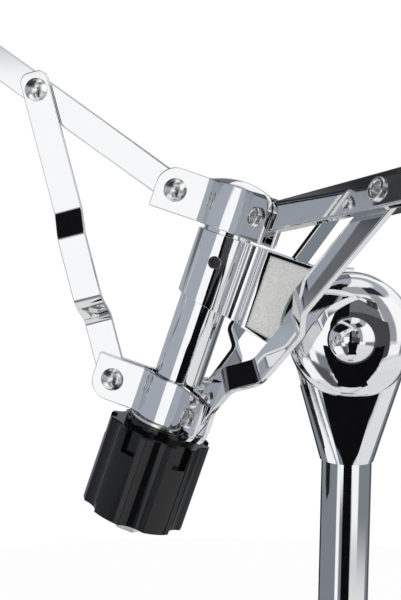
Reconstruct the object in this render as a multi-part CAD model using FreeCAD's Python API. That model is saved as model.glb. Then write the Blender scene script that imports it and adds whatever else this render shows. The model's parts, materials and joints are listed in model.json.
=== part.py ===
import FreeCAD, Part
import math
import os

# Snare drum stand, in millimetres.
# The origin lies on the floor under the upright tube. X runs to the right, Y away from the
# front, and Z up. The basket hangs on a tilter at the top of the upright.

# Upright
hub_height = 490.0
tube_radius = 11.1
tube_wall = 1.2
base_tube_radius = 14.3
base_tube_wall = 1.5
base_tube_overhang = 1.6
base_tube_top = 330.0
upper_tube_bottom = 190.0

# Fits, each one a gap on the radius or between two faces
sliding_gap = 0.08
turning_gap = 0.05
seat_gap = 0.05
side_gap = 0.15

# Tripod
leg_directions = (180.0, 300.0, 60.0)
leg_angle = 55.0
leg_length = 300.0
brace_length = 105.0
leg_pivot_radius = 33.0
leg_width = 14.0
leg_thickness = 3.0
brace_width = 12.0
brace_thickness = 2.5
spider_lug_thickness = 6.0
lug_margin = 2.0
leg_end_height = 9.0
leg_ring_wall = 5.0
spider_height = 26.0
collar_height = 32.0
collar_pivot_height = 10.0
foot_radius = 14.0
foot_length = 38.0
foot_overhang = 5.0
plug_flange = 3.0
plug_pin_gap = 2.0
spider_pin_radius = 2.0
pivot_shank_radius = 3.0
pivot_head_radius = 5.0
pivot_head_height = 2.2
foot_rivet_radius = 2.2
foot_rivet_head_radius = 4.0
foot_rivet_head_height = 1.5
foot_rivet_setback = 14.0

# Height clamp
clamp_height = 38.0
clamp_rise = 4.0
clamp_wall = 4.2
clamp_ear_length = 22.0
clamp_ear_height = 30.0
clamp_ear_width = 22.0
clamp_split = 3.0
bush_depth = 34.0
bush_flange_rise = 1.0
clamp_bolt_radius = 4.0
clamp_bolt_end = 2.0
clamp_nut_side = 13.0
clamp_nut_height = 6.5

# Wing handles
wing_boss_radius = 7.0
wing_boss_length = 13.0
wing_reach = 22.0
wing_width = 12.0
wing_thickness = 4.5

# Tilter
hub_radius = 26.8
hub_rim_width = 4.0
hub_front_depth = 18.6
hub_rear_depth = 13.0
hub_dome_power = 3.2
tongue_thickness = 10.0
tongue_radius = 26.0
tongue_width = 24.0
friction_ring_inner = 12.0
friction_ring_outer = 24.0
friction_ring_thickness = 1.2
neck_length = 56.4
neck_bottom_radius = 11.9
neck_rim_drop = 10.9
neck_rim_half_width = 25.3
neck_rim_half_depth = 12.4
neck_rim_corner = 10.0
neck_front_angle = 16.0
neck_side_angle = 12.0
neck_socket_depth = 20.0
tongue_slot_drop = 48.0
tilter_bolt_radius = 4.0
tilter_head_radius = 9.3
tilter_head_height = 4.6
tilter_seat_radius = 10.0
tilter_washer_radius = 9.5
tilter_washer_thickness = 1.6
tilter_bolt_end = 1.5

# Basket, set on its own axis; heights run along it from the level of the tilter
basket_offset = 65.8
basket_lean = 18.1
basket_turn = -2.6
sleeve_radius = 13.0
sleeve_top = 22.8
sleeve_low_height = -8.9
sleeve_low_slope = 0.18
valley_round = 5.0
block_wall = 1.1
block_edge = 1.2
block_clear = 3.2
panel_margin = 1.7
panel_edge = 1.8
panel_end_edge = 0.7
panel_depth = 0.6
set_screw_height = 10.4
set_screw_radius = 2.6
set_screw_socket = 2.6
set_screw_sink = 0.6
set_screw_web = 0.25
basket_tube_bottom = -77.0

# Arm and strut linkage
arm_pivot_height = 34.6
strut_pivot_height = -55.7
pivot_radius = 28.0
arm_angle = 16.8
arm_length = 165.0
arm_width = 13.2
arm_thickness = 4.0
strut_station = 76.7
strut_width = 12.8
strut_end = 8.2
strut_end_round = 4.4
strut_thickness = 2.5
strut_play = 1.15
strut_slot_up = 2.1
strut_slot_down = 0.4
strut_bump = 6.2
strut_bump_start = 0.458
strut_bump_end = 0.755
strut_rise_run = 10.5
strut_fall_run = 8.5
strut_bend = 4.5
band_height = 20.0
band_thickness = 2.3
band_bend = 6.0
ear_reach = 9.2
ear_round = 9.0
rivet_shank_radius = 3.0
rivet_head_radius = 5.2
rivet_head_height = 3.0
rivet_clinch_radius = 4.4
rivet_clinch_height = 1.5
rivet_clinch_bore = 2.5
rivet_clinch_depth = 3.0
arm_edge_round = 0.9

# Rubber tips of the arms
tip_wall = 3.0
tip_sleeve_length = 40.0
tip_thickness = 16.0
tip_seat_height = 12.0
tip_hook_height = 31.0
tip_hook_wall = 8.0
tip_seat_length = 14.0

# Screw that draws the basket
cap_radius = 14.7
cap_crown = 3.4
cap_spigot = 8.0
rod_radius = 5.0
rod_bottom = -119.4
rod_plug_length = 18.0
rod_nut_height = 3.8
rod_nut_side = 13.0
washer_radius = 15.2
washer_thickness = 1.7
knob_top = -70.7
knob_bottom = -111.7
knob_radius = 23.9
knob_lobes = 6
knob_lobe_angle = 33.0
knob_flute_depth = 2.6
knob_collar_radius = 17.0
knob_bore_gap = 0.9
knob_floor = 13.0
knob_rod_gap = 0.5
knob_notch_width = 7.0
knob_notch_height = 10.0
knob_notch_depth = 3.0
knob_turn = 9.8
knob_round = 0.7
knob_lobe_round = 0.6
knob_nut_side = 17.0
knob_nut_height = 9.0

X = FreeCAD.Vector(1, 0, 0)
Y = FreeCAD.Vector(0, 1, 0)
Z = FreeCAD.Vector(0, 0, 1)
ORIGIN = FreeCAD.Vector(0, 0, 0)


# Shape helpers
def at(x, y, z):
    return FreeCAD.Vector(x, y, z)


def rod(radius, start, end):
    return Part.makeCylinder(radius, (end - start).Length, start, end - start)


def ring(outer, inner, bottom, top):
    shell = rod(outer, at(0, 0, bottom), at(0, 0, top))
    return shell.cut(rod(inner, at(0, 0, bottom), at(0, 0, top)))


def prism(points, half_thickness):
    """A plate from (x, z) corners, centred on the plane y = 0."""
    corners = [at(x, -half_thickness, z) for x, z in points]
    outline = Part.makePolygon(corners + corners[:1])
    return Part.Face(outline).extrude(Y * (2 * half_thickness))


def link(start, end, width, thickness):
    """A flat bar with round ends between two (x, z) points, centred on the plane y = 0."""
    first = at(start[0], -thickness / 2, start[1])
    last = at(end[0], -thickness / 2, end[1])
    along = (last - first).normalize()
    side = along.cross(Y) * (width / 2)
    tip = along * (width / 2)
    edges = [
        Part.makeLine(first + side, last + side),
        Part.Arc(last + side, last + tip, last - side).toShape(),
        Part.makeLine(last - side, first - side),
        Part.Arc(first - side, first - tip, first + side).toShape(),
    ]
    return Part.Face(Part.Wire(edges)).extrude(Y * thickness)


def spun(edges, axis):
    """A solid of revolution from profile edges about an axis through the origin."""
    return Part.Face(Part.Wire(edges)).revolve(ORIGIN, axis, 360)


def chain(points):
    return [Part.makeLine(a, b) for a, b in zip(points, points[1:])]


def hexagon(side_to_side, bottom, top):
    corner = side_to_side / math.sqrt(3)
    points = [at(corner * math.cos(math.radians(60 * k)), corner * math.sin(math.radians(60 * k)), bottom)
              for k in range(6)]
    return Part.Face(Part.makePolygon(points + points[:1])).extrude(Z * (top - bottom))


def turned(shape, angle, axis=Z, centre=ORIGIN):
    copy = shape.copy()
    copy.rotate(centre, axis, angle)
    return copy


def moved(shape, offset):
    copy = shape.copy()
    copy.translate(offset)
    return copy


def point_on(angle, radius, height):
    return at(radius * math.cos(math.radians(angle)), radius * math.sin(math.radians(angle)), height)


def edges_near(shape, points):
    """The edges whose middles lie at the given points."""
    found = []
    for edge in shape.Edges:
        middle = edge.valueAt((edge.FirstParameter + edge.LastParameter) / 2)
        if any((middle - point).Length < 0.05 for point in points):
            found.append(edge)
    return found


def save(name, solids):
    shape = Part.makeCompound(solids) if isinstance(solids, list) else solids
    shape.exportStep("parts/" + name + ".step")


def wing_handle(start):
    """Boss and two wings of a hand screw along X, from the plane x = start."""
    middle = start + wing_boss_length / 2
    handle = rod(wing_boss_radius, at(start, 0, 0), at(start + wing_boss_length, 0, 0))
    for side in (1, -1):
        root = (middle, side * wing_boss_radius / 2)
        end = (middle + wing_boss_length / 2, side * wing_reach)
        handle = handle.fuse(link(root, end, wing_width, wing_thickness))
    return handle.removeSplitter()


def pivot_pin(half_grip, shoulder_radius, half_shoulder):
    """A round-headed pin along Y, with a thicker shoulder in the middle where it has one."""
    pin = rod(pivot_shank_radius, at(0, -half_grip, 0), at(0, half_grip, 0))
    if half_shoulder:
        pin = pin.fuse(rod(shoulder_radius, at(0, -half_shoulder, 0), at(0, half_shoulder, 0)))
    for side in (1, -1):
        top = at(0, side * (half_grip + pivot_head_height), 0)
        rim = at(pivot_head_radius, side * half_grip, 0)
        foot = at(0, side * half_grip, 0)
        bulge = (pivot_head_radius ** 2 + pivot_head_height ** 2) / (2 * pivot_head_height)
        half_way = math.asin(pivot_head_radius / bulge) / 2
        rise = pivot_head_height - bulge * (1 - math.cos(half_way))
        crown = at(bulge * math.sin(half_way), side * (half_grip + rise), 0)
        cap = [Part.makeLine(foot, rim), Part.Arc(rim, crown, top).toShape(), Part.makeLine(top, foot)]
        pin = pin.fuse(spun(cap, Y))
    return pin.removeSplitter()


def rivet(tail, head):
    """A hollow-ended rivet along Y, rolled over below y = tail, with a domed head above y = head."""
    bulge = (rivet_head_radius ** 2 + rivet_head_height ** 2) / (2 * rivet_head_height)
    half_way = math.asin(rivet_head_radius / bulge) / 2
    rise = rivet_head_height - bulge * (1 - math.cos(half_way))
    end = tail - rivet_clinch_height
    rim_round = (rivet_clinch_radius - rivet_clinch_bore) / 2
    hollow = [
        at(0, end + rivet_clinch_depth, 0),
        at(rivet_clinch_bore, end + rivet_clinch_depth, 0),
        at(rivet_clinch_bore, end + rim_round, 0),
    ]
    outline = [
        at(rivet_clinch_radius, end + rim_round, 0),
        at(rivet_clinch_radius, tail, 0),
        at(rivet_shank_radius, tail, 0),
        at(rivet_shank_radius, head, 0),
        at(rivet_head_radius, head, 0),
    ]
    top = at(0, head + rivet_head_height, 0)
    crown = at(bulge * math.sin(half_way), head + rise, 0)
    rim = Part.Arc(hollow[-1], at(rivet_clinch_bore + rim_round, end, 0), outline[0]).toShape()
    dome = Part.Arc(outline[-1], crown, top).toShape()
    return spun(chain(hollow) + [rim] + chain(outline) + [dome, Part.makeLine(top, hollow[0])], Y)


os.makedirs("parts", exist_ok=True)

# Tripod geometry. The brace is as long as the leg's upper stretch, so the collar rises straight
# up the base tube as the legs fold.
lean_out = math.sin(math.radians(leg_angle))
lean_down = math.cos(math.radians(leg_angle))
collar_pivot = (leg_pivot_radius, leg_end_height + leg_length * lean_down)
brace_joint = (collar_pivot[0] + brace_length * lean_out, collar_pivot[1] - brace_length * lean_down)
spider_pivot = (leg_pivot_radius, collar_pivot[1] - 2 * brace_length * lean_down)
leg_end = (collar_pivot[0] + leg_length * lean_out, leg_end_height)
brace_inner = spider_lug_thickness / 2 + side_gap
brace_outer = brace_inner + brace_thickness
leg_inner = brace_outer + side_gap
leg_outer = leg_inner + leg_thickness
collar_lug_thickness = 2 * (leg_inner - side_gap)
pivot_hole = pivot_shank_radius + turning_gap
leg_ring_radius = base_tube_radius + leg_ring_wall

# Base tube, with its end plug
spider_bottom = spider_pivot[1] - spider_height / 2
pin_height = spider_bottom + spider_height / 4
base_tube_bottom = spider_bottom - base_tube_overhang
pin_path = rod(spider_pin_radius + seat_gap, at(0, -leg_ring_radius, pin_height), at(0, leg_ring_radius, pin_height))
base_inner = base_tube_radius - base_tube_wall
base_tube = ring(base_tube_radius, base_inner, base_tube_bottom, base_tube_top).cut(pin_path)
save("base_tube", base_tube)
flange = rod(base_tube_radius, at(0, 0, base_tube_bottom - plug_flange), at(0, 0, base_tube_bottom))
spigot_top = pin_height - spider_pin_radius - plug_pin_gap
spigot = rod(base_inner - seat_gap, at(0, 0, base_tube_bottom), at(0, 0, spigot_top))
save("base_plug", flange.fuse(spigot))


# Rings on the base tube that carry the legs and the braces
def lugged_ring(bottom, top, gap, pivot, lug_thickness, lug_width):
    body = rod(leg_ring_radius, at(0, 0, bottom), at(0, 0, top))
    for direction in leg_directions:
        lug = link((base_tube_radius, pivot[1]), pivot, lug_width, lug_thickness)
        body = body.fuse(turned(lug, direction))
    body = body.cut(rod(base_tube_radius + gap, at(0, 0, bottom - lug_width), at(0, 0, top + lug_width)))
    for direction in leg_directions:
        hole = rod(pivot_hole, at(pivot[0], -lug_thickness, pivot[1]), at(pivot[0], lug_thickness, pivot[1]))
        body = body.cut(turned(hole, direction))
    return body.removeSplitter()


spider = lugged_ring(spider_bottom, spider_bottom + spider_height, seat_gap, spider_pivot,
                     spider_lug_thickness, brace_width + 2 * lug_margin)
save("leg_spider", spider.cut(pin_path))
pin_half = math.sqrt(leg_ring_radius ** 2 - spider_pin_radius ** 2)
save("spider_pin", rod(spider_pin_radius, at(0, -pin_half, pin_height), at(0, pin_half, pin_height)))
spider_rivet = moved(pivot_pin(brace_outer + side_gap, 0, 0), at(spider_pivot[0], 0, spider_pivot[1]))
save("spider_rivets", [turned(spider_rivet, direction) for direction in leg_directions])

collar_bottom = collar_pivot[1] - collar_pivot_height
collar = lugged_ring(collar_bottom, collar_bottom + collar_height, sliding_gap, collar_pivot,
                     collar_lug_thickness, leg_width + lug_margin)
collar_screw_height = collar_bottom + collar_height * 0.7
collar_screw_path = rod(clamp_bolt_radius + turning_gap, at(0, 0, collar_screw_height),
                        at(2 * leg_ring_radius, 0, collar_screw_height))
collar_boss_end = leg_ring_radius + 5.0
collar_boss = rod(2 * clamp_bolt_radius, at(base_tube_radius + leg_ring_wall / 2, 0, collar_screw_height),
                  at(collar_boss_end, 0, collar_screw_height))
save("leg_collar", collar.fuse(collar_boss).cut(collar_screw_path).removeSplitter())
collar_rivet = moved(pivot_pin(leg_outer + side_gap, 0, 0), at(collar_pivot[0], 0, collar_pivot[1]))
save("collar_rivets", [turned(collar_rivet, direction) for direction in leg_directions])
collar_screw_start = collar_boss_end + 2.0
collar_screw_tip = base_tube_radius + 4 * sliding_gap
collar_screw = wing_handle(collar_screw_start).fuse(
    rod(clamp_bolt_radius, at(collar_screw_tip, 0, 0), at(collar_screw_start, 0, 0)))
save("collar_wing_screw", moved(collar_screw.removeSplitter(), Z * collar_screw_height))


# Legs, braces and feet
def strap_pair(start, end, width, inner, outer, holes):
    straps = []
    for side in (1, -1):
        strap = link(start, end, width, outer - inner)
        strap = moved(strap, Y * (side * (inner + outer) / 2))
        for place, radius in holes:
            strap = strap.cut(rod(radius, at(place[0], -2 * outer, place[1]), at(place[0], 2 * outer, place[1])))
        straps.append(strap)
    return straps


foot_rivet_place = (leg_end[0] - foot_rivet_setback * lean_out, leg_end[1] + foot_rivet_setback * lean_down)
leg_holes = [(collar_pivot, pivot_hole), (brace_joint, pivot_hole), (foot_rivet_place, foot_rivet_radius)]
leg_straps = strap_pair(collar_pivot, leg_end, leg_width, leg_inner, leg_outer, leg_holes)
brace_holes = [(spider_pivot, pivot_hole), (brace_joint, pivot_hole)]
brace_straps = strap_pair(spider_pivot, brace_joint, brace_width, brace_inner, brace_outer, brace_holes)
joint_rivet = moved(pivot_pin(leg_outer, 1.4 * pivot_shank_radius, brace_inner - side_gap),
                    at(brace_joint[0], 0, brace_joint[1]))

along_leg = at(lean_out, 0, -lean_down)
foot_tip = at(leg_end[0], 0, leg_end[1]) + along_leg * (leg_width / 2 + foot_overhang)
foot = rod(foot_radius, foot_tip - along_leg * foot_length, foot_tip)
below_floor = Part.makeBox(4 * foot_length, 4 * foot_length, 2 * foot_length,
                           at(foot_tip.x - 2 * foot_length, -2 * foot_length, -2 * foot_length))
foot = foot.cut(below_floor)
for strap in strap_pair(collar_pivot, leg_end, leg_width, leg_inner, leg_outer, []):
    foot = foot.cut(strap)
foot_half = math.sqrt(foot_radius ** 2 - foot_rivet_head_radius ** 2)
foot_rivet = rod(foot_rivet_radius, at(0, -foot_half, 0), at(0, foot_half, 0))
for side in (1, -1):
    foot_rivet = foot_rivet.fuse(rod(foot_rivet_head_radius, at(0, side * foot_half, 0),
                                     at(0, side * (foot_half + foot_rivet_head_height), 0)))
foot_rivet = moved(foot_rivet.removeSplitter(), at(foot_rivet_place[0], 0, foot_rivet_place[1]))
foot = foot.cut(foot_rivet)

for number, direction in enumerate(leg_directions, 1):
    save("leg_%d" % number, [turned(strap, direction) for strap in leg_straps])
    save("brace_%d" % number, [turned(strap, direction) for strap in brace_straps])
    save("leg_rivets_%d" % number, [turned(joint_rivet, direction), turned(foot_rivet, direction)])
    save("foot_%d" % number, turned(foot, direction))

# Height clamp on top of the base tube, split at the back, with its bush, bolt and nut
clamp_radius = base_tube_radius + clamp_wall
ear_middle = clamp_radius + clamp_ear_length / 2
clamp_top = base_tube_top + clamp_rise
clamp_bottom = clamp_top - clamp_height
clamp_middle = (clamp_bottom + clamp_top) / 2
clamp = rod(clamp_radius, at(0, 0, clamp_bottom), at(0, 0, clamp_top))
ears = Part.makeBox(clamp_ear_width, clamp_radius + clamp_ear_length, clamp_ear_height,
                    at(-clamp_ear_width / 2, 0, clamp_middle - clamp_ear_height / 2))
clamp = clamp.fuse(ears)
clamp = clamp.cut(rod(base_tube_radius + seat_gap, at(0, 0, clamp_bottom), at(0, 0, base_tube_top)))
bush_inner = tube_radius + sliding_gap
clamp = clamp.cut(rod(base_tube_radius, at(0, 0, base_tube_top), at(0, 0, clamp_top)))
clamp = clamp.cut(Part.makeBox(clamp_split, clamp_radius + 2 * clamp_ear_length, 3 * clamp_height,
                               at(-clamp_split / 2, 0, clamp_bottom - clamp_height)))
bolt_line = at(0, ear_middle, clamp_middle)
clamp = clamp.cut(rod(clamp_bolt_radius + turning_gap, bolt_line - X * clamp_ear_width, bolt_line + X * clamp_ear_width))
save("height_clamp", clamp.removeSplitter())

bush = ring(base_inner - seat_gap, bush_inner, base_tube_top - bush_depth, base_tube_top)
bush_flange = ring(base_tube_radius - seat_gap, bush_inner, base_tube_top, clamp_top + bush_flange_rise)
save("clamp_bush", bush.fuse(bush_flange).removeSplitter())

nut_end = clamp_ear_width / 2 + clamp_nut_height
clamp_nut = Part.makeBox(clamp_nut_height, clamp_nut_side, clamp_nut_side,
                         at(-nut_end, -clamp_nut_side / 2, -clamp_nut_side / 2))
clamp_nut = clamp_nut.cut(rod(clamp_bolt_radius + turning_gap, at(-nut_end, 0, 0), ORIGIN))
save("clamp_nut", moved(clamp_nut, bolt_line))
clamp_bolt_start = clamp_ear_width / 2 + side_gap
clamp_bolt = wing_handle(clamp_bolt_start).fuse(
    rod(clamp_bolt_radius, at(-nut_end - clamp_bolt_end, 0, 0), at(clamp_bolt_start, 0, 0)))
save("height_wing_bolt", moved(clamp_bolt.removeSplitter(), bolt_line))

# Upright tube and the tilter's neck. Tilter pieces are drawn about the hub and lifted to it.
hub = at(0, 0, hub_height)
neck_bottom = -neck_length
socket_top = neck_bottom + neck_socket_depth
tube_inner = tube_radius - tube_wall
save("upper_tube", ring(tube_radius, tube_inner, upper_tube_bottom, hub_height + socket_top))


# Neck: round on the tube, drawn out to a saddle with flat front and back under the hub
def neck_foot_point(degrees):
    angle = math.radians(degrees)
    return at(neck_bottom_radius * math.cos(angle), neck_bottom_radius * math.sin(angle), neck_bottom)


neck_foot_edges = []
neck_rim_edges = []
flat_x = neck_rim_half_width - neck_rim_corner
flat_y = neck_rim_half_depth - neck_rim_corner
diagonal = neck_rim_corner / math.sqrt(2)
for quarter in range(4):
    side_is_x = quarter % 2 == 0
    half_angle = neck_side_angle if side_is_x else neck_front_angle
    next_half_angle = neck_front_angle if side_is_x else neck_side_angle
    middle = 90 * quarter
    foot_start = neck_foot_point(middle - half_angle)
    foot_end = neck_foot_point(middle + half_angle)
    foot_next = neck_foot_point(middle + 90 - next_half_angle)
    foot_corner = neck_foot_point((2 * middle + 90 + half_angle - next_half_angle) / 2)
    neck_foot_edges += [Part.Arc(foot_start, neck_foot_point(middle), foot_end).toShape(),
                        Part.Arc(foot_end, foot_corner, foot_next).toShape()]
    reach = neck_rim_half_width if side_is_x else neck_rim_half_depth
    along = flat_y if side_is_x else flat_x
    across = flat_x if side_is_x else flat_y
    rim_points = [at(reach, -along, -neck_rim_drop), at(reach, along, -neck_rim_drop),
                  at(across + diagonal, along + diagonal, -neck_rim_drop),
                  at(across, along + neck_rim_corner, -neck_rim_drop)]
    rim_points = [FreeCAD.Rotation(Z, middle).multVec(point) for point in rim_points]
    neck_rim_edges += [Part.LineSegment(rim_points[0], rim_points[1]).toShape(),
                       Part.Arc(rim_points[1], rim_points[2], rim_points[3]).toShape()]
neck = Part.makeLoft([Part.Wire(neck_foot_edges), Part.Wire(neck_rim_edges)], True, True)
neck = neck.cut(rod(hub_radius, at(0, -2 * hub_radius, 0), at(0, 2 * hub_radius, 0)))
neck = neck.cut(rod(tube_radius + seat_gap, at(0, 0, neck_bottom), at(0, 0, socket_top)))
tongue_half = tongue_thickness / 2
slot_reach = 2 * hub_radius
slot_angle = math.radians(tongue_slot_drop)
slot = prism([(0, 0), (-slot_reach, 0), (-slot_reach, -slot_reach * math.tan(slot_angle))],
             tongue_half + side_gap + friction_ring_thickness)
neck = neck.cut(slot)
save("tilter_neck", moved(neck, hub))


# Half shells of the hub: a short rim and a dome, cut flat where the bolt and washer seat
shell_start = tongue_half + side_gap + friction_ring_thickness
dome_start = shell_start + hub_rim_width


def hub_shell(side, depth):
    seat = dome_start + depth * (1 - (tilter_seat_radius / hub_radius) ** hub_dome_power) ** (1 / hub_dome_power)
    bore = tilter_bolt_radius + seat_gap
    rim = at(hub_radius, side * dome_start, 0)
    seat_edge = at(tilter_seat_radius, side * seat, 0)
    dome = Part.BSplineCurve()
    steps = 16
    last = math.acos((tilter_seat_radius / hub_radius) ** (hub_dome_power / 2))
    squareness = 2 / hub_dome_power
    dome_points = [at(hub_radius * math.cos(last * k / steps) ** squareness,
                      side * (dome_start + depth * math.sin(last * k / steps) ** squareness), 0)
                   for k in range(1, steps)]
    dome.interpolate([rim] + dome_points + [seat_edge])
    edges = chain([seat_edge, at(bore, side * seat, 0), at(bore, side * shell_start, 0),
                   at(hub_radius, side * shell_start, 0), rim])
    return spun(edges + [dome.toShape()], Y), seat


front_shell, front_seat = hub_shell(-1, hub_front_depth)
rear_shell, rear_seat = hub_shell(1, hub_rear_depth)
save("hub_front_shell", moved(front_shell, hub))
save("hub_rear_shell", moved(rear_shell, hub))
friction_ring = rod(friction_ring_outer, ORIGIN, Y * friction_ring_thickness)
friction_ring = friction_ring.cut(rod(friction_ring_inner, ORIGIN, Y * friction_ring_thickness))
front_ring = moved(friction_ring, hub - Y * shell_start)
rear_ring = moved(friction_ring, hub + Y * (shell_start - friction_ring_thickness))
save("friction_rings", [front_ring, rear_ring])

nut_start = rear_seat + tilter_washer_thickness + seat_gap
bolt_end = nut_start + wing_boss_length + tilter_bolt_end
head_bulge = (tilter_head_radius ** 2 + tilter_head_height ** 2) / (2 * tilter_head_height)
head_half = math.asin(tilter_head_radius / head_bulge) / 2
head_rise = tilter_head_height - head_bulge * (1 - math.cos(head_half))
head_rim = at(tilter_head_radius, -front_seat, 0)
head_crown = at(head_bulge * math.sin(head_half), -front_seat - head_rise, 0)
head_top = at(0, -front_seat - tilter_head_height, 0)
bolt_edges = chain([head_top, at(0, bolt_end, 0), at(tilter_bolt_radius, bolt_end, 0),
                    at(tilter_bolt_radius, -front_seat, 0), head_rim])
bolt_edges.append(Part.Arc(head_rim, head_crown, head_top).toShape())
save("tilter_bolt", moved(spun(bolt_edges, Y), hub))
washer = rod(tilter_washer_radius, Y * rear_seat, Y * (rear_seat + tilter_washer_thickness))
washer = washer.cut(rod(tilter_bolt_radius + seat_gap, ORIGIN, Y * bolt_end))
save("tilter_washer", moved(washer, hub))
wing_nut = turned(wing_handle(nut_start), 90)
wing_nut = wing_nut.cut(rod(tilter_bolt_radius + turning_gap, ORIGIN, Y * (2 * bolt_end)))
save("tilter_wing_nut", moved(wing_nut, hub))

# Everything from here is drawn on the basket's own axis, then leaned and hung on the hub
lean = FreeCAD.Rotation(Y, basket_lean)
basket_place = FreeCAD.Placement(hub - lean.multVec(X) * basket_offset, lean)


def hang(shape):
    copy = shape.copy()
    copy.Placement = basket_place.multiply(copy.Placement)
    return copy


def save_hung(name, solids):
    if isinstance(solids, list):
        save(name, [hang(solid) for solid in solids])
    else:
        save(name, hang(solids))


# Basket holder: a sleeve, a valley, a block with a framed panel on each side, and the tongue in
# the hub. The block's end is cut round the hub, so it keeps its distance at every tilt.
def low_edge(reach):
    return sleeve_low_height - sleeve_low_slope * reach


tube_gap_radius = tube_radius + sliding_gap
valley_side = sleeve_radius - block_edge - block_wall
valley_reach = math.sqrt((sleeve_radius + valley_round) ** 2 - valley_side ** 2)
block_start = valley_reach + valley_round
sleeve_deep = low_edge(basket_offset) - sleeve_radius
block_end_radius = hub_radius + block_clear


def holder_side(side):
    """Edges of the holder's outline on one side, from the sleeve's back to the block's far end."""
    centre = at(valley_reach, side * valley_side, sleeve_deep)
    axis_point = at(0, 0, sleeve_deep)
    to_sleeve = (axis_point - centre).normalize()
    half_way = (to_sleeve + X).normalize()
    sleeve_point = centre + to_sleeve * valley_round
    wall_point = centre + X * valley_round
    edge_point = wall_point + Y * (side * block_wall)
    round_centre = edge_point + X * block_edge
    front_point = round_centre + Y * (side * block_edge)
    round_middle = round_centre + (Y * side - X).normalize() * block_edge
    far_point = at(basket_offset, side * sleeve_radius, sleeve_deep)
    back_point = at(-sleeve_radius, 0, sleeve_deep)
    sleeve_middle = at(0, side * sleeve_radius, sleeve_deep)
    return [
        Part.Arc(back_point, sleeve_middle, sleeve_point).toShape(),
        Part.Arc(sleeve_point, centre + half_way * valley_round, wall_point).toShape(),
        Part.makeLine(wall_point, edge_point),
        Part.Arc(edge_point, round_middle, front_point).toShape(),
        Part.makeLine(front_point, far_point),
    ]


def hub_disc(radius, half_width):
    return rod(radius, at(basket_offset, -half_width, 0), at(basket_offset, half_width, 0))


far_edge = Part.makeLine(at(basket_offset, sleeve_radius, sleeve_deep), at(basket_offset, -sleeve_radius, sleeve_deep))
holder_edges = holder_side(1) + holder_side(-1) + [far_edge]
holder = Part.Face(Part.Wire(Part.__sortEdges__(holder_edges))).extrude(Z * (sleeve_top - sleeve_deep))
holder = holder.cut(hub_disc(block_end_radius, 2 * sleeve_radius))
under_depth = sleeve_deep - 2 * sleeve_radius
under = prism([(-2 * sleeve_radius, low_edge(-2 * sleeve_radius)), (2 * basket_offset, low_edge(2 * basket_offset)),
               (2 * basket_offset, under_depth), (-2 * sleeve_radius, under_depth)], 2 * sleeve_radius)
holder = holder.cut(under)
panel_start = block_start + block_edge + panel_margin
panel = [
    (panel_start, low_edge(panel_start) + panel_edge),
    (basket_offset, low_edge(basket_offset) + panel_edge),
    (basket_offset, sleeve_top - panel_edge),
    (panel_start, sleeve_top - panel_edge),
]
for side in (1, -1):
    recess = moved(prism(panel, panel_depth), Y * (side * sleeve_radius))
    holder = holder.cut(recess.cut(hub_disc(block_end_radius + panel_end_edge, 2 * sleeve_radius)))
tongue_start = block_start + block_edge
tongue = prism([(tongue_start, -tongue_width / 2), (basket_offset, -tongue_width / 2),
                (basket_offset, tongue_width / 2), (tongue_start, tongue_width / 2)], tongue_half)
holder = holder.fuse(tongue).fuse(hub_disc(tongue_radius, tongue_half))
holder = holder.cut(hub_disc(tilter_bolt_radius + turning_gap, hub_radius))
holder = holder.cut(rod(tube_gap_radius, at(0, 0, sleeve_deep), at(0, 0, sleeve_top)))
holder = holder.cut(rod(set_screw_radius + seat_gap, at(0, -2 * sleeve_radius, set_screw_height),
                        at(0, 0, set_screw_height)))
save_hung("basket_holder", holder.removeSplitter())

set_screw = rod(set_screw_radius, at(0, -sleeve_radius + set_screw_sink, 0), at(0, -tube_gap_radius, 0))
socket = turned(hexagon(set_screw_socket, -sleeve_radius, -tube_gap_radius - set_screw_web), -90, X)
save_hung("set_screw", moved(set_screw.cut(socket), Z * set_screw_height))

# Basket tube, its cap, and the screw inside its lower end
band_top = arm_pivot_height + band_height / 2
save_hung("basket_tube", ring(tube_radius, tube_inner, basket_tube_bottom, band_top))
cap_bulge = (cap_radius ** 2 + cap_crown ** 2) / (2 * cap_crown)
cap_half = math.asin(cap_radius / cap_bulge) / 2
cap_rise = cap_crown - cap_bulge * (1 - math.cos(cap_half))
cap_outline = [
    at(0, 0, band_top + cap_crown),
    at(0, 0, band_top - cap_spigot),
    at(tube_inner - seat_gap, 0, band_top - cap_spigot),
    at(tube_inner - seat_gap, 0, band_top),
    at(cap_radius, 0, band_top),
]
cap_edges = chain(cap_outline)
cap_edges.append(Part.Arc(cap_outline[-1], at(cap_bulge * math.sin(cap_half), 0, band_top + cap_rise),
                          cap_outline[0]).toShape())
save_hung("tube_cap", spun(cap_edges, Z))
plug_top = basket_tube_bottom + rod_plug_length
save_hung("rod_plug", ring(tube_inner - seat_gap, rod_radius + seat_gap, basket_tube_bottom, plug_top))
save_hung("draw_rod", rod(rod_radius, at(0, 0, rod_bottom), at(0, 0, plug_top)))
rod_nut = hexagon(rod_nut_side, rod_bottom, rod_bottom + rod_nut_height)
save_hung("rod_end_nut", rod_nut.cut(rod(rod_radius + seat_gap, at(0, 0, rod_bottom), ORIGIN)))


# Bracket segments: each one is bent from strip, with two ears and a wrap round the tube.
# Three of them close round the tube and hold a flat bar between each pair of ears.
def mirrored(point):
    turn = math.radians(120)
    return at(point.x * math.cos(turn) + point.y * math.sin(turn),
              point.x * math.sin(turn) - point.y * math.cos(turn), point.z)


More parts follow.
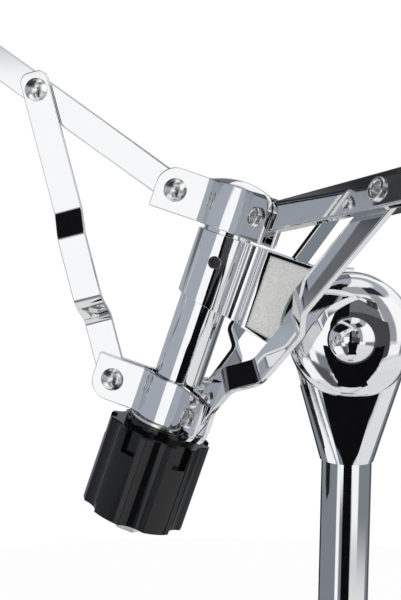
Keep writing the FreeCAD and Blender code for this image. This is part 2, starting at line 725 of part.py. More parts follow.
def band_segment(inner_radius, bar_thickness):
    near = bar_thickness / 2 + side_gap
    far = near + band_thickness
    outer_radius = inner_radius + band_thickness
    ear_end = pivot_radius + ear_reach
    bend_y = far + band_bend
    bend_x = math.sqrt((outer_radius + band_bend) ** 2 - bend_y ** 2)
    centre = at(bend_x, bend_y, 0)
    toward_axis = centre * (-1 / centre.Length)
    half_way = (toward_axis - Y).normalize()
    outer = [
        at(ear_end, far, 0),
        at(bend_x, far, 0),
        centre + half_way * band_bend,
        centre + toward_axis * band_bend,
    ]
    inner = [
        at(ear_end, near, 0),
        at(bend_x, near, 0),
        centre + half_way * (band_bend + band_thickness),
        centre + toward_axis * (band_bend + band_thickness),
    ]
    edges = []
    for path, radius in ((outer, outer_radius), (inner, inner_radius)):
        twin = [mirrored(point) for point in path]
        edges += [
            Part.makeLine(path[0], path[1]),
            Part.Arc(path[1], path[2], path[3]).toShape(),
            Part.Arc(path[3], point_on(60, radius, 0), twin[3]).toShape(),
            Part.Arc(twin[3], twin[2], twin[1]).toShape(),
            Part.makeLine(twin[1], twin[0]),
        ]
    edges.append(Part.makeLine(outer[0], inner[0]))
    edges.append(Part.makeLine(mirrored(outer[0]), mirrored(inner[0])))
    outline = Part.Wire(Part.__sortEdges__(edges))
    return Part.Face(outline).extrude(Z * band_height), (outer[0] + inner[0]) * 0.5


def bracket(inner_radius, bar_thickness, level, round_top):
    """Three segments round the tube, with the ears' outer corners rounded above or below."""
    segment, ear_middle_point = band_segment(inner_radius, bar_thickness)
    round_height = band_height if round_top else 0
    corners = [ear_middle_point + Z * round_height, mirrored(ear_middle_point) + Z * round_height]
    segment = segment.makeFillet(ear_round, edges_near(segment, corners))
    segment = moved(segment, Z * (level - band_height / 2))
    hole = rod(rivet_shank_radius + seat_gap, at(pivot_radius, -pivot_radius, level), at(pivot_radius, pivot_radius, level))
    segment = segment.cut(hole).cut(turned(hole, 120))
    return [turned(segment, 120 * k) for k in range(3)]


arm_headings = [-(180 + basket_turn - 120 * k) for k in range(3)]
upper_segments = bracket(tube_radius, arm_thickness, arm_pivot_height, True)
lower_segments = bracket(tube_gap_radius, strut_thickness, strut_pivot_height, False)
save_hung("upper_bracket", [turned(solid, arm_headings[0]) for solid in upper_segments])
save_hung("lower_bracket", [turned(solid, arm_headings[0]) for solid in lower_segments])

# Arms: flat bars on edge, each with a strut riveted to one face and a rubber tip
arm_pivot = (pivot_radius, arm_pivot_height)
strut_pivot = (pivot_radius, strut_pivot_height)
arm_out = math.cos(math.radians(arm_angle))
arm_up = math.sin(math.radians(arm_angle))
arm_joint = (pivot_radius + strut_station * arm_out, arm_pivot_height + strut_station * arm_up)
arm_end = (pivot_radius + arm_length * arm_out, arm_pivot_height + arm_length * arm_up)
rivet_hole = rivet_shank_radius + turning_gap


def through(place, radius):
    return rod(radius, at(place[0], -pivot_radius, place[1]), at(place[0], pivot_radius, place[1]))


arm_bar = link(arm_pivot, arm_end, arm_width, arm_thickness)
arm = arm_bar.makeFillet(arm_edge_round, arm_bar.Edges)
arm = arm.cut(through(arm_pivot, rivet_hole)).cut(through(arm_joint, rivet_hole))

sleeve_start = (arm_end[0] - tip_sleeve_length * arm_out, arm_end[1] - tip_sleeve_length * arm_up)
tip = link(sleeve_start, arm_end, arm_width + 2 * tip_wall, arm_thickness + 2 * tip_wall)
hook_points = [
    (arm_end[0] - tip_seat_length, arm_end[1] - arm_width / 4),
    (arm_end[0] + tip_hook_wall, arm_end[1] - arm_width / 4),
    (arm_end[0] + tip_hook_wall, arm_end[1] + tip_hook_height - tip_hook_wall / 2),
    (arm_end[0] + tip_hook_wall / 2, arm_end[1] + tip_hook_height),
    (arm_end[0] - tip_hook_wall / 2, arm_end[1] + tip_hook_height - tip_hook_wall / 2),
    (arm_end[0], arm_end[1] + tip_seat_height),
    (arm_end[0] - tip_seat_length, arm_end[1] + tip_seat_height),
]
tip = tip.fuse(prism(hook_points, tip_thickness / 2)).cut(arm_bar)

# Struts: strips with a bump that clears the upper ears and rivet heads when the basket closes
strut_top_offset = arm_thickness / 2 + side_gap + strut_thickness / 2
along_strut = at(strut_pivot[0] - arm_joint[0], 0, strut_pivot[1] - arm_joint[1])
strut_length = along_strut.Length
along_strut.normalize()
bump_offset = strut_top_offset + strut_bump
strut_path = [
    (-strut_end, strut_top_offset),
    (strut_bump_start * strut_length - strut_rise_run / 2, strut_top_offset),
    (strut_bump_start * strut_length + strut_rise_run / 2, bump_offset),
    (strut_bump_end * strut_length - strut_fall_run / 2, bump_offset),
    (strut_bump_end * strut_length + strut_fall_run / 2, 0),
    (strut_length + strut_width / 2, 0),
]


def strip_side(path, distance):
    """The path moved sideways by a distance, with its corners kept on the bisectors."""
    headings = [math.atan2(b[1] - a[1], b[0] - a[0]) for a, b in zip(path, path[1:])]
    moved_path = []
    for index, (run, offset) in enumerate(path):
        before = headings[max(index - 1, 0)]
        after = headings[min(index, len(headings) - 1)]
        bisector = (before + after) / 2
        stretch = distance / math.cos((after - before) / 2)
        moved_path.append((run - stretch * math.sin(bisector), offset + stretch * math.cos(bisector)))
    return moved_path


strip_outline = strip_side(strut_path, strut_thickness / 2) + strip_side(strut_path, -strut_thickness / 2)[::-1]
strip_corners = [at(run, offset, -strut_width / 2) for run, offset in strip_outline]
strip = Part.Face(Part.makePolygon(strip_corners + strip_corners[:1])).extrude(Z * strut_width)
left_bends = strip_side(strut_path, strut_thickness / 2)[1:-1]
right_bends = strip_side(strut_path, -strut_thickness / 2)[1:-1]
for turn_index, (left, right) in enumerate(zip(left_bends, right_bends)):
    bends_left = turn_index in (0, 3)
    inside, outside = (left, right) if bends_left else (right, left)
    strip = strip.makeFillet(strut_bend, edges_near(strip, [at(inside[0], inside[1], 0)]))
    strip = strip.makeFillet(strut_bend + strut_thickness, edges_near(strip, [at(outside[0], outside[1], 0)]))
end_depth = 8 * bump_offset
end_corner = at(-strut_end, -end_depth / 2, -strut_width / 2)
end_plate = Part.makeBox(strut_end + strut_length / 2, end_depth, strut_width, end_corner)
end_corners = [at(-strut_end, 0, side * strut_width / 2) for side in (-1, 1)]
end_plate = end_plate.makeFillet(strut_end_round, edges_near(end_plate, end_corners))
end_shape = link((0, 0), (strut_length, 0), strut_width, end_depth).fuse(end_plate)
strip = strip.common(end_shape)
strip = strip.cut(rod(rivet_hole, at(0, -pivot_radius, 0), at(0, pivot_radius, 0)))
slot_ends = (strut_length - strut_slot_up, 0), (strut_length + strut_slot_down, 0)
strip = strip.cut(link(*slot_ends, 2 * (rivet_shank_radius + strut_play), 2 * pivot_radius))
strut_heading = math.degrees(math.atan2(along_strut.z, along_strut.x))
strut = moved(turned(strip, -strut_heading, Y), at(arm_joint[0], 0, arm_joint[1]))

ear_face = arm_thickness / 2 + side_gap + band_thickness
upper_rivet = moved(rivet(-ear_face, ear_face), at(arm_pivot[0], 0, arm_pivot[1]))
low_face = strut_thickness / 2 + side_gap + band_thickness
lower_rivet = moved(rivet(-low_face, low_face), at(strut_pivot[0], 0, strut_pivot[1]))
arm_rivet = moved(rivet(-arm_thickness / 2, strut_top_offset + strut_thickness / 2 + seat_gap),
                  at(arm_joint[0], 0, arm_joint[1]))
save_hung("upper_rivets", [turned(upper_rivet, heading) for heading in arm_headings])
save_hung("lower_rivets", [turned(lower_rivet, heading) for heading in arm_headings])
for number, heading in enumerate(arm_headings, 1):
    save_hung("arm_%d" % number, turned(arm, heading))
    save_hung("arm_tip_%d" % number, turned(tip, heading))
    save_hung("arm_rivet_%d" % number, turned(arm_rivet, heading))
    save_hung("strut_%d" % number, turned(strut, heading))

# Washer and knob under the lower bracket; the knob's bore takes in the end of the tube
lower_band_bottom = strut_pivot_height - band_height / 2
washer_bottom = lower_band_bottom - washer_thickness
save_hung("thrust_washer", ring(washer_radius, tube_gap_radius, washer_bottom, lower_band_bottom))

half_lobe = math.radians(knob_lobe_angle / 2)
step = 2 * math.pi / knob_lobes
knob_edges = []
for index in range(knob_lobes):
    middle = index * step
    start = at(knob_radius * math.cos(middle - half_lobe), knob_radius * math.sin(middle - half_lobe), knob_bottom)
    crest = at(knob_radius * math.cos(middle), knob_radius * math.sin(middle), knob_bottom)
    end = at(knob_radius * math.cos(middle + half_lobe), knob_radius * math.sin(middle + half_lobe), knob_bottom)
    floor_radius = knob_radius - knob_flute_depth
    flute = at(floor_radius * math.cos(middle + step / 2), floor_radius * math.sin(middle + step / 2), knob_bottom)
    following = at(knob_radius * math.cos(middle + step - half_lobe),
                   knob_radius * math.sin(middle + step - half_lobe), knob_bottom)
    knob_edges += [Part.Arc(start, crest, end).toShape(), Part.Arc(end, flute, following).toShape()]
knob = Part.Face(Part.Wire(knob_edges)).extrude(Z * (knob_top - knob_bottom))
lobe_edges = [edge for edge in knob.Edges if edge.BoundBox.ZLength > 0.5 * (knob_top - knob_bottom)]
knob = knob.makeFillet(knob_lobe_round, lobe_edges)
rim_edges = [edge for edge in knob.Edges if abs(edge.BoundBox.ZLength) < 0.01]
knob = knob.makeFillet(knob_round, rim_edges)
for index in range(knob_lobes):
    notch = Part.makeBox(2 * knob_notch_depth, knob_notch_width, 2 * knob_notch_height,
                         at(knob_radius - knob_notch_depth, -knob_notch_width / 2, knob_top - knob_notch_height))
    knob = knob.cut(turned(notch, math.degrees(index * step)))
collar_top = washer_bottom - seat_gap
knob = knob.fuse(rod(knob_collar_radius, at(0, 0, knob_top - knob_round), at(0, 0, collar_top)))
knob = knob.cut(rod(tube_radius + knob_bore_gap, at(0, 0, knob_bottom + knob_floor), at(0, 0, collar_top)))
knob = knob.cut(hexagon(knob_nut_side + 2 * seat_gap, knob_bottom + knob_floor - knob_nut_height,
                        knob_bottom + knob_floor))
knob = knob.cut(rod(rod_radius + knob_rod_gap, at(0, 0, knob_bottom), at(0, 0, knob_bottom + knob_floor)))
save_hung("adjust_knob", turned(knob.removeSplitter(), knob_turn))
knob_nut = hexagon(knob_nut_side, knob_bottom + knob_floor - knob_nut_height, knob_bottom + knob_floor)
knob_nut = knob_nut.cut(rod(rod_radius + turning_gap, at(0, 0, knob_bottom), at(0, 0, knob_top)))
save_hung("knob_nut", turned(knob_nut, knob_turn))
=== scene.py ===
import json
import math

import bmesh
import bpy
from mathutils import Matrix

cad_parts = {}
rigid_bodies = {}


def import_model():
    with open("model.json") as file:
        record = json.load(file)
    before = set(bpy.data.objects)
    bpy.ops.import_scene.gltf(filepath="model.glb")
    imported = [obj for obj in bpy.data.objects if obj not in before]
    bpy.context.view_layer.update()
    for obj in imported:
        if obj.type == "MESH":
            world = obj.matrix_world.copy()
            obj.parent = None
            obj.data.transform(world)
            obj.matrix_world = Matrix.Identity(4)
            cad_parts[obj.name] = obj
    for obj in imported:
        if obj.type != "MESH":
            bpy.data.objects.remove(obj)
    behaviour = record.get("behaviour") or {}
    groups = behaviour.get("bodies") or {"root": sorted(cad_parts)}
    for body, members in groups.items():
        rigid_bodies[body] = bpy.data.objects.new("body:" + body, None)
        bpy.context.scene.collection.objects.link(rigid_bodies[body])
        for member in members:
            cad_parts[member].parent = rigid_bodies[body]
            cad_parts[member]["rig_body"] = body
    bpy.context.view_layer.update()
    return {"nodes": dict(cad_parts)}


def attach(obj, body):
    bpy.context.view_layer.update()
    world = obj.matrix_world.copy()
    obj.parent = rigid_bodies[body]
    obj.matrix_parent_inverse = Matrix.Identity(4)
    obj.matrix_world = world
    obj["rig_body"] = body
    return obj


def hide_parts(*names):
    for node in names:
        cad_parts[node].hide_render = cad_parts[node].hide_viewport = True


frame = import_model()
nodes = frame["nodes"]


# Lower tube of the upright: 28.6 mm welded steel tube, ground and bright chrome plated.
# A black nylon plug closes its foot.
def add(owner, kind, **inputs):
    """Adds a node to a material or world: numbers are set on its sockets, sockets are linked.

    A socket is given by its name, or by its number as _0 or _1.
    """
    node = owner.node_tree.nodes.new(kind)
    for key, value in inputs.items():
        socket = node.inputs[int(key[1:])] if key[0] == "_" else node.inputs[key.replace("_", " ")]
        if isinstance(value, bpy.types.NodeSocket):
            owner.node_tree.links.new(value, socket)
        else:
            socket.default_value = value
    return node


def mixed(owner, factor, first, second):
    """A colour between two, each given as numbers or as a socket."""
    mix = add(owner, "ShaderNodeMix", Factor=factor)
    mix.data_type = "RGBA"
    for letter, colour in (("A", first), ("B", second)):
        if isinstance(colour, bpy.types.NodeSocket):
            owner.node_tree.links.new(colour, mix.inputs[letter])
        else:
            mix.inputs[letter].default_value = (*colour, 1.0)
    return mix.outputs["Result"]


def new_finish(name):
    """An empty material with its shader and the object's own coordinates."""
    finish = bpy.data.materials.new(name)
    finish.use_nodes = True
    place = add(finish, "ShaderNodeTexCoord").outputs["Object"]
    return finish, finish.node_tree.nodes["Principled BSDF"], place


def plated(name, light, dark, haze, ripple, ripple_scale):
    """Bright plate: a mirror with faint polishing haze over the soft ripple of its metal."""
    finish, surface, place = new_finish(name)
    surface.inputs["Metallic"].default_value = 1.0
    cloud = add(finish, "ShaderNodeTexNoise", Vector=place, Scale=140.0, Detail=5.0, Roughness=0.6)
    polish = add(finish, "ShaderNodeMapRange", Value=cloud.outputs["Fac"], From_Min=0.35, From_Max=0.75,
                 To_Min=haze[0], To_Max=haze[1])
    wave = add(finish, "ShaderNodeTexNoise", Vector=place, Scale=ripple_scale, Detail=2.0)
    bump = add(finish, "ShaderNodeBump", Strength=1.0, Distance=ripple, Height=wave.outputs["Fac"])
    links = finish.node_tree.links
    links.new(mixed(finish, cloud.outputs["Fac"], dark, light), surface.inputs["Base Color"])
    links.new(polish.outputs["Result"], surface.inputs["Roughness"])
    links.new(bump.outputs["Normal"], surface.inputs["Normal"])
    return finish


def moulded(name, light, dark, roughness, grain, grain_scale):
    """Moulded plastic or rubber: mottled colour, uneven gloss and a fine moulded grain."""
    finish, surface, place = new_finish(name)
    cloud = add(finish, "ShaderNodeTexNoise", Vector=place, Scale=90.0, Detail=6.0, Roughness=0.65)
    gloss = add(finish, "ShaderNodeMapRange", Value=cloud.outputs["Fac"], From_Min=0.3, From_Max=0.7,
                To_Min=roughness[0], To_Max=roughness[1])
    pits = add(finish, "ShaderNodeTexNoise", Vector=place, Scale=grain_scale, Detail=3.0)
    bump = add(finish, "ShaderNodeBump", Strength=1.0, Distance=grain, Height=pits.outputs["Fac"])
    links = finish.node_tree.links
    links.new(mixed(finish, cloud.outputs["Fac"], dark, light), surface.inputs["Base Color"])
    links.new(gloss.outputs["Result"], surface.inputs["Roughness"])
    links.new(bump.outputs["Normal"], surface.inputs["Normal"])
    return finish


def dress(finish, *names):
    """Gives solids that keep their exact shape their finish."""
    for name in names:
        nodes[name].material_slots[0].material = finish


tube_chrome = plated("tube_chrome", light=(0.82, 0.825, 0.83), dark=(0.79, 0.795, 0.805),
                     haze=(0.01, 0.03), ripple=0.0000015, ripple_scale=40.0)
black_nylon = moulded("black_nylon", light=(0.05, 0.05, 0.052), dark=(0.03, 0.03, 0.031),
                      roughness=(0.35, 0.5), grain=0.00002, grain_scale=2500.0)
dress(tube_chrome, "base_tube")
dress(black_nylon, "base_plug")


# Spider and sliding collar: zinc castings with three lugs each, deburred and chrome plated.
# A zinc-plated cross pin holds the spider on the tube, and round-headed rivets carry the straps.
# A wing screw locks the collar.
def rounded(name, finish, rounding, corner=30.0, weld=0.000002, flatten=0.8):
    """A copy of a solid with its edges rounded over, put in the solid's place.

    Edges that turn by more than the corner angle are rounded. Points closer than the weld are
    merged first, and faces that turn by less than the flatten angle are joined.
    """
    work = bmesh.new()
    work.from_mesh(nodes[name].data)
    bmesh.ops.remove_doubles(work, verts=work.verts, dist=weld)
    bmesh.ops.dissolve_limit(work, angle_limit=math.radians(flatten), verts=work.verts, edges=work.edges)
    sharp = [edge for edge in work.edges
             if edge.is_manifold and edge.calc_face_angle() > math.radians(corner)]
    bmesh.ops.bevel(work, geom=sharp, offset=rounding, offset_type="OFFSET", segments=2, profile=0.5,
                    affect="EDGES", clamp_overlap=False, material=-1)
    bmesh.ops.recalc_face_normals(work, faces=work.faces)
    for face in work.faces:
        face.smooth = True
        face.material_index = 0
    mesh = bpy.data.meshes.new(name + "_rounded")
    work.to_mesh(mesh)
    work.free()
    mesh.materials.append(finish)
    piece = bpy.data.objects.new(name + "_rounded", mesh)
    bpy.context.scene.collection.objects.link(piece)
    shading = piece.modifiers.new("even shading", "WEIGHTED_NORMAL")
    shading.keep_sharp = True
    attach(piece, nodes[name]["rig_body"])
    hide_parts(name)
    return piece


casting_edge = 0.0004
wing_edge = 0.0003
wing_corner = 33.0
wing_flatten = 1.5
cast_chrome = plated("cast_chrome", light=(0.82, 0.825, 0.83), dark=(0.78, 0.785, 0.795),
                     haze=(0.015, 0.05), ripple=0.000004, ripple_scale=55.0)
rivet_plate = plated("rivet_plate", light=(0.90, 0.90, 0.89), dark=(0.82, 0.82, 0.81),
                     haze=(0.20, 0.30), ripple=0.000001, ripple_scale=420.0)
zinc_plate = plated("zinc_plate", light=(0.60, 0.60, 0.58), dark=(0.44, 0.44, 0.43),
                    haze=(0.26, 0.42), ripple=0.000008, ripple_scale=900.0)
rounded("leg_spider", cast_chrome, casting_edge)
rounded("leg_collar", cast_chrome, casting_edge)
dress(rivet_plate, "spider_rivets", "collar_rivets")
rounded("collar_wing_screw", cast_chrome, wing_edge,
        corner=wing_corner, flatten=wing_flatten)
dress(zinc_plate, "spider_pin")

# Legs and braces: pairs of flat steel straps with round ends, pierced, tumbled and chrome plated.
# Each leg's foot is moulded rubber, pushed over the straps and held by a small rivet.
strap_edge = 0.0004
strip_chrome = plated("strip_chrome", light=(0.82, 0.825, 0.83), dark=(0.78, 0.785, 0.795),
                      haze=(0.015, 0.045), ripple=0.000004, ripple_scale=60.0)
black_rubber = moulded("black_rubber", light=(0.045, 0.045, 0.046), dark=(0.022, 0.022, 0.022),
                       roughness=(0.55, 0.8), grain=0.00004, grain_scale=1800.0)
for number in ("1", "2", "3"):
    rounded("leg_" + number, strip_chrome, strap_edge)
    rounded("brace_" + number, strip_chrome, strap_edge)
    dress(rivet_plate, "leg_rivets_" + number)
    dress(black_rubber, "foot_" + number)

# Height clamp: a split zinc casting on the lower tube's top, closed by a wing bolt in a square nut.
# A black nylon bush inside it steadies the sliding tube.
clamp_edge = 0.0002
clamp_weld = 0.00006
square_nut_edge = 0.0003
rounded("height_clamp", cast_chrome, clamp_edge, weld=clamp_weld)
rounded("height_wing_bolt", cast_chrome, wing_edge,
        corner=wing_corner, flatten=wing_flatten)
rounded("clamp_nut", zinc_plate, square_nut_edge)
dress(black_nylon, "clamp_bush")

# Upper tube and tilter: 22.2 mm tube, a cast neck with a saddle, and a hub of two domed shells.
# A round-headed bolt draws the shells against fibre rings, with a washer and wing nut at the back.
washer_edge = 0.0002
wing_nut_edge = 0.0002
pressed_fibre = moulded("pressed_fibre", light=(0.40, 0.19, 0.09), dark=(0.28, 0.12, 0.06),
                        roughness=(0.6, 0.75), grain=0.00003, grain_scale=2200.0)
dress(tube_chrome, "upper_tube")
dress(cast_chrome, "tilter_neck", "hub_front_shell", "hub_rear_shell", "tilter_bolt")
dress(pressed_fibre, "friction_rings")
rounded("tilter_washer", rivet_plate, washer_edge)
rounded("tilter_wing_nut", cast_chrome, wing_nut_edge,
        corner=wing_corner, flatten=wing_flatten)

# Basket holder: a chromed casting with a sleeve, a tongue for the hub and a block between them.
# The block's two sunk panels are left sandy from the mould; a socket screw grips the tube.
holder_edge = 0.00025
panel_level = 0.0124
panel_reach = 0.00005
panel_facing = 0.99
set_screw_edge = 0.00005
sandy_panel, panel_surface, panel_place = new_finish("sandy_panel")
panel_surface.inputs["Metallic"].default_value = 0.1
panel_surface.inputs["Roughness"].default_value = 0.5
sand = add(sandy_panel, "ShaderNodeTexNoise", Vector=panel_place, Scale=1500.0, Detail=4.0, Roughness=0.7)
fleck = add(sandy_panel, "ShaderNodeMapRange", Value=sand.outputs["Fac"], From_Min=0.35, From_Max=0.65)
sand_bump = add(sandy_panel, "ShaderNodeBump", Strength=1.0, Distance=0.00012, Height=sand.outputs["Fac"])
sand_colour = mixed(sandy_panel, fleck.outputs["Result"], (0.70, 0.695, 0.685), (0.94, 0.935, 0.925))
sandy_panel.node_tree.links.new(sand_colour, panel_surface.inputs["Base Color"])
sandy_panel.node_tree.links.new(sand_bump.outputs["Normal"], panel_surface.inputs["Normal"])
holder = rounded("basket_holder", cast_chrome, holder_edge)
holder.data.materials.append(sandy_panel)
for face in holder.data.polygons:
    if abs(face.normal.y) > panel_facing and abs(abs(face.center.y) - panel_level) < panel_reach:
        face.material_index = 1
black_steel = plated("black_steel", light=(0.07, 0.07, 0.07), dark=(0.03, 0.03, 0.03),
                     haze=(0.28, 0.45), ripple=0.000008, ripple_scale=900.0)
rounded("set_screw", black_steel, set_screw_edge)

# Basket tube: 22.2 mm steel tube, chrome plated, with a domed cap set in its top by a spigot.
# Inside its foot a plug holds the threaded rod, which has a stop nut on its lower end.
end_nut_edge = 0.0003
dress(tube_chrome, "basket_tube", "tube_cap")
dress(zinc_plate, "rod_plug", "draw_rod")
rounded("rod_end_nut", rivet_plate, end_nut_edge)

# Brackets: three bent strips with ears, closed round the tube, chrome plated after bending.
# The upper one is fixed, the lower one slides; domed rivets pass through the ears.
strip_edge = 0.00045
rounded("upper_bracket", strip_chrome, strip_edge)
rounded("lower_bracket", strip_chrome, strip_edge)
dress(rivet_plate, "upper_rivets", "lower_rivets")

# Arms and struts: flat bars with round ends and cranked strips, chrome plated.
# Each arm ends in a moulded rubber tip with a hook for the drum's hoop.
tip_edge = 0.0002
for number in ("1", "2", "3"):
    dress(strip_chrome, "arm_" + number)
    rounded("strut_" + number, strip_chrome, strip_edge)
    dress(rivet_plate, "arm_rivet_" + number)
    rounded("arm_tip_" + number, black_rubber, tip_edge)

# Knob: a glossy black moulding with six lobes and a brass nut in its floor.
# It climbs the threaded rod and pushes the lower bracket up through a plain plated washer.
knob_gloss = 0.38
knob_black = moulded("knob_black", light=(0.006, 0.0063, 0.008), dark=(0.003, 0.0032, 0.004),
                     roughness=(0.04, 0.10), grain=0.000002, grain_scale=260.0)
knob_black.node_tree.nodes["Principled BSDF"].inputs["Specular IOR Level"].default_value = knob_gloss
plain_brass = plated("plain_brass", light=(0.80, 0.62, 0.33), dark=(0.66, 0.49, 0.24),
                     haze=(0.22, 0.38), ripple=0.000008, ripple_scale=700.0)
dress(knob_black, "adjust_knob")
dress(plain_brass, "knob_nut")
rounded("thrust_washer", rivet_plate, washer_edge)

# Camera at the photograph's viewpoint: close in front of the basket and a little above the hub.
# It is turned a little to the left and down, and rolled by less than a degree.
eye_point = (-0.01195, -0.39063, 0.52974)
turned_left = 8.01
looking_down = 3.88
rolled = 0.84
eye = bpy.data.cameras.new("camera")
eye.sensor_width = 36.0
eye.lens = 52.51
camera = bpy.data.objects.new("camera", eye)
camera_place = Matrix.Translation(eye_point)
camera_turn = Matrix.Rotation(math.radians(turned_left), 4, "Z")
camera_pitch = Matrix.Rotation(math.radians(90.0 - looking_down), 4, "X")
camera_roll = Matrix.Rotation(math.radians(rolled), 4, "Z")
camera.matrix_world = camera_place @ camera_turn @ camera_pitch @ camera_roll
bpy.context.scene.collection.objects.link(camera)
bpy.context.scene.camera = camera
bpy.context.scene.view_settings.view_transform = "Standard"

# Studio room: plain white to the camera, and an even soft light on everything.
# Mirrors see soft screens instead, each laid over the ones before it. Directions around the room
# start at the camera and grow to the right, and those up it start at the horizon.
even_light = (0.90, 0.90, 0.90)
plain_white = (1.0, 1.0, 1.0)
screen_strength = 1.16
past_round = 400.0
past_top = 200.0
whole_round = (-past_round, past_round)
crisp = 2.0
room = bpy.data.worlds.new("room")
room.use_nodes = True
bpy.context.scene.world = room
way = add(room, "ShaderNodeTexCoord").outputs["Generated"]
split = add(room, "ShaderNodeSeparateXYZ", Vector=way)
ahead = add(room, "ShaderNodeMath", _0=split.outputs["Y"], _1=-1.0)
ahead.operation = "MULTIPLY"
round_angle = add(room, "ShaderNodeMath", _0=split.outputs["X"], _1=ahead.outputs[0])
round_angle.operation = "ARCTAN2"
rise_angle = add(room, "ShaderNodeMath", _0=split.outputs["Z"])
rise_angle.operation = "ARCSINE"


def between(angle, low, high, soft):
    """1 where an angle lies between two limits in degrees, with a soft change at each."""
    low, high, soft = math.radians(low), math.radians(high), math.radians(soft)
    rise = add(room, "ShaderNodeMapRange", Value=angle, From_Min=low - soft, From_Max=low + soft)
    rise.interpolation_type = "SMOOTHSTEP"
    fall = add(room, "ShaderNodeMapRange", Value=angle, From_Min=high - soft, From_Max=high + soft,
               To_Min=1.0, To_Max=0.0)
    fall.interpolation_type = "SMOOTHSTEP"
    both = add(room, "ShaderNodeMath", _0=rise.outputs["Result"], _1=fall.outputs["Result"])
    both.operation = "MULTIPLY"
    return both.outputs[0]


def screen(under, colour, around, up, soft=3.0):
    """Lays a colour over part of the room, between two directions around it and two up it."""
    across = between(round_angle.outputs[0], *around, soft)
    tall = between(rise_angle.outputs[0], *up, soft)
    cover = add(room, "ShaderNodeMath", _0=across, _1=tall)
    cover.operation = "MULTIPLY"
    return mixed(room, cover.outputs[0], under, colour)


# Grey walls with a dark foot, a pale ground, and a white sheet on the ground at the left.
seen = screen((0.37, 0.40, 0.45), (0.20, 0.22, 0.25), whole_round, (-34.0, -9.0))
seen = screen(seen, (0.72, 0.72, 0.72), whole_round, (-past_top, -34.0))
seen = screen(seen, (0.96, 0.96, 0.97), (-95.0, -46.0), (-56.0, -27.0))
# Dark upper wall at the left and behind it, a white screen at the right behind, and white overhead.
seen = screen(seen, (0.15, 0.16, 0.175), (-past_round, -80.0), (21.0, 62.0))
seen = screen(seen, (0.13, 0.135, 0.145), (-130.0, -103.0), (11.5, 30.0), crisp)
seen = screen(seen, (0.025, 0.025, 0.028), (-140.0, -100.0), (19.0, 60.0), crisp)
seen = screen(seen, (0.93, 0.93, 0.93), (100.0, past_round), (18.0, 46.0))
seen = screen(seen, (0.90, 0.90, 0.90), (-12.0, past_round), (66.0, past_top))
# Around the camera: black above it at the left, grey high over it, and white at its level.
seen = screen(seen, (0.006, 0.006, 0.007), (-90.0, -14.0), (21.0, 80.0))
seen = screen(seen, (0.35, 0.35, 0.36), (-20.0, 24.0), (42.0, 68.0))
seen = screen(seen, (0.99, 0.995, 1.0), (-31.0, 28.0), (-16.0, 10.0), crisp)
seen = screen(seen, (0.95, 0.95, 0.96), (-42.0, -27.0), (-27.0, -13.0), crisp)
seen = screen(seen, (0.88, 0.88, 0.88), (-8.0, 26.0), (10.0, 42.0))
# At the right: a grey gap, the large white screen with its pale foot, and a dark edge over it.
seen = screen(seen, (0.31, 0.32, 0.34), (25.0, 46.0), (-10.0, 42.0))
seen = screen(seen, (1.0, 0.995, 0.985), (46.0, 100.0), (-9.0, 46.0))
seen = screen(seen, (0.95, 0.945, 0.93), (27.0, 58.0), (-20.0, -8.0))
seen = screen(seen, (0.76, 0.76, 0.76), (24.0, 112.0), (-36.0, -20.0))
seen = screen(seen, (0.025, 0.025, 0.028), (26.0, 66.0), (47.0, 66.0))
# Dark places low down, in front at the left and behind on both sides.
seen = screen(seen, (0.09, 0.09, 0.095), (-42.0, -17.0), (-68.0, -30.0))
seen = screen(seen, (0.015, 0.015, 0.017), (-176.0, -143.0), (-33.0, -13.0))
seen = screen(seen, (0.07, 0.07, 0.075), (133.0, 152.0), (-33.0, -10.0))
path = add(room, "ShaderNodeLightPath")
mirrored = add(room, "ShaderNodeMath", _0=path.outputs["Is Glossy Ray"],
               _1=path.outputs["Is Transmission Ray"])
mirrored.operation = "MAXIMUM"
lighting = mixed(room, mirrored.outputs[0], even_light, seen)
background = mixed(room, path.outputs["Is Camera Ray"], lighting, plain_white)
screen_light = add(room, "ShaderNodeMapRange", Value=mirrored.outputs[0], To_Min=1.0, To_Max=screen_strength)
room_shader = room.node_tree.nodes["Background"]
room.node_tree.links.new(background, room_shader.inputs["Color"])
room.node_tree.links.new(screen_light.outputs["Result"], room_shader.inputs["Strength"])


# Floor: a round of matt white paper under the feet, with a faint glow that meets the white room.
# Mirrors don't show it. Dark and grey cloths hang behind the camera, where only mirrors show them.
def stage_piece(name, mesh, finish):
    """Puts a floor or a cloth into the scene as an object of its own."""
    shape = bpy.data.meshes.new(name)
    mesh.to_mesh(shape)
    mesh.free()
    shape.materials.append(finish)
    piece = bpy.data.objects.new(name, shape)
    bpy.context.scene.collection.objects.link(piece)
    return piece


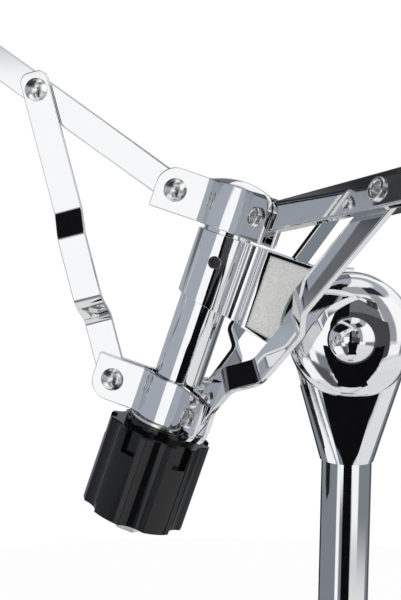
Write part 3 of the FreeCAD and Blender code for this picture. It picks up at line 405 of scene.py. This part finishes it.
floor_radius = 1.15
floor_glow = 0.27
paper, floor_surface, _ = new_finish("paper")
floor_surface.inputs["Base Color"].default_value = (0.8, 0.8, 0.8, 1.0)
floor_surface.inputs["Roughness"].default_value = 0.9
floor_surface.inputs["Emission Color"].default_value = (1.0, 1.0, 1.0, 1.0)
floor_path = add(paper, "ShaderNodeLightPath")
lit = add(paper, "ShaderNodeMath", _0=floor_path.outputs["Is Camera Ray"],
          _1=floor_path.outputs["Is Glossy Ray"])
lit.operation = "MAXIMUM"
glow = add(paper, "ShaderNodeMath", _0=lit.outputs[0], _1=floor_glow)
glow.operation = "MULTIPLY"
paper.node_tree.links.new(glow.outputs[0], floor_surface.inputs["Emission Strength"])
ground = bmesh.new()
bmesh.ops.create_circle(ground, cap_ends=True, segments=96, radius=floor_radius)
floor = stage_piece("floor", ground, paper)
floor.visible_glossy = False

dark_cloth, cloth_surface, _ = new_finish("dark_cloth")
cloth_surface.inputs["Base Color"].default_value = (0.006, 0.006, 0.007, 1.0)
cloth_surface.inputs["Roughness"].default_value = 0.9
cloth_surface.inputs["Specular IOR Level"].default_value = 0.0


def dyed(colour):
    """The same cloth in another colour."""
    cloth = dark_cloth.copy()
    cloth.node_tree.nodes["Principled BSDF"].inputs["Base Color"].default_value = (*colour, 1.0)
    return cloth


charcoal_cloth = dyed((0.085, 0.085, 0.09))
grey_cloth = dyed((0.21, 0.21, 0.22))
cloth_back = -0.42


def hung_cloth(name, finish, left, right, low, high, foot=None):
    """A cloth hung behind the camera between two heights; a foot lays its end along the floor."""
    drape = bmesh.new()
    levels = [(cloth_back, high), (cloth_back, low)]
    if foot is not None:
        levels.append((foot, low))
    last = None
    for y, z in levels:
        pair = [drape.verts.new((left, y, z)), drape.verts.new((right, y, z))]
        if last:
            drape.faces.new((last[0], last[1], pair[1], pair[0]))
        last = pair
    cloth = stage_piece(name, drape, finish)
    cloth.visible_camera = False
    cloth.visible_diffuse = False
    cloth.visible_shadow = False
    cloth.visible_transmission = False


hung_cloth("dark_cloth", dark_cloth, left=-0.105, right=0.18, low=0.002, high=0.42, foot=-0.25)
hung_cloth("dark_strip", dark_cloth, left=-0.07, right=0.0, low=0.42, high=0.80)
hung_cloth("charcoal_cloth", charcoal_cloth, left=0.0, right=0.18, low=0.42, high=0.56)
hung_cloth("charcoal_edge", charcoal_cloth, left=0.18, right=0.25, low=0.34, high=0.56)
hung_cloth("grey_cloth", grey_cloth, left=0.0, right=0.18, low=0.56, high=0.80)
